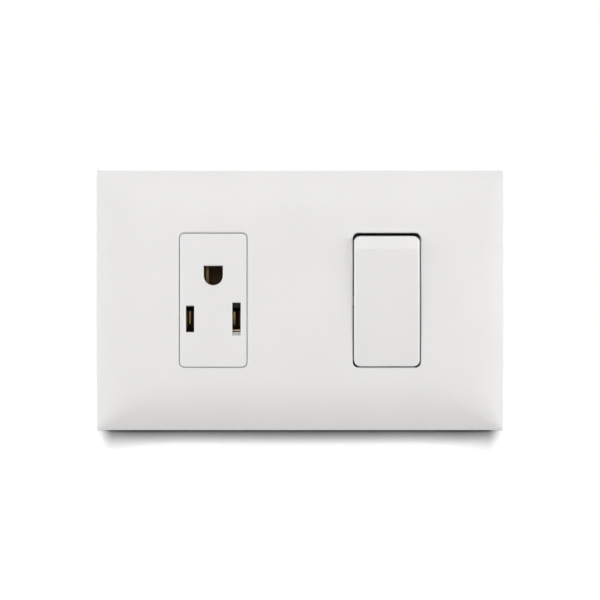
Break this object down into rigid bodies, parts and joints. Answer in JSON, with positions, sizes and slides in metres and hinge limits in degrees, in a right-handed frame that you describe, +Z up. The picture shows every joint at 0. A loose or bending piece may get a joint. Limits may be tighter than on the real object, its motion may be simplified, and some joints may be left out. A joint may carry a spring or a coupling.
{
  "type": "switch and socket combination",
  "caption": "Wall plate with a three-pin socket outlet on the left, an empty middle place and a rocker switch on the right.",
  "frame": {"origin": "middle of the two box screws, on the plane of the wall", "axes": "+X to the right along the plate, -Y out of the wall towards the user, +Y into the wall box, +Z up"},
  "size_m": [0.1116, 0.0332, 0.0712],
  "materials": {
    "plate_plastic": "satin moulded",
    "frame_plastic": "matt moulded",
    "housing_plastic": "matt moulded",
    "plunger_plastic": "smooth moulded",
    "zinc_steel": "zinc plated",
    "spring_steel": "drawn wire",
    "contact_brass": "stamped",
    "contact_silver": "silver rivet"
  },
  "bodies": {
    "wall_unit": {"cover_plate": "plate_plastic", "support_frame": "frame_plastic", "mounting_screws": "zinc_steel", "socket_face": "plate_plastic", "socket_housing": "housing_plastic", "line_contact": "contact_brass", "neutral_contact": "contact_brass", "earth_contact": "contact_brass", "socket_clamp_plates": "zinc_steel", "socket_terminal_screws": "zinc_steel", "switch_bezel": "plate_plastic", "switch_housing": "housing_plastic", "common_terminal": "contact_brass", "fixed_contact": "contact_brass", "fixed_rivet": "contact_silver", "switch_clamp_plates": "zinc_steel", "switch_terminal_screws": "zinc_steel"},
    "rocker": {"rocker": "plate_plastic", "rocker_spring": "spring_steel"},
    "plunger": {"plunger": "plunger_plastic"},
    "moving_contact": {"moving_contact": "contact_brass", "moving_rivet": "contact_silver"}
  },
  "joints": [
    {"name": "rocker_tilt", "type": "hinge", "parent": "wall_unit", "child": "rocker", "pos_m": [0.02375, -0.005, 0], "axis": [-1, 0, 0], "range_deg": [0, 8]},
    {"name": "moving_contact_tilt", "type": "hinge", "parent": "wall_unit", "child": "moving_contact", "pos_m": [0.02375, 0.0069, 0], "axis": [1, 0, 0], "range_deg": [0, 16]},
    {"name": "plunger_slide", "type": "slide", "parent": "rocker", "child": "plunger", "axis": [0, -0.9976, -0.0698], "range_m": [0, 0.0005], "stiffness_N_per_m": 400, "springref_m": -0.0006, "deforming": ["rocker_spring"]}
  ],
  "couplings": [
    {"joint": "moving_contact_tilt", "follows": "rocker_tilt", "ratio": 2}
  ]
}
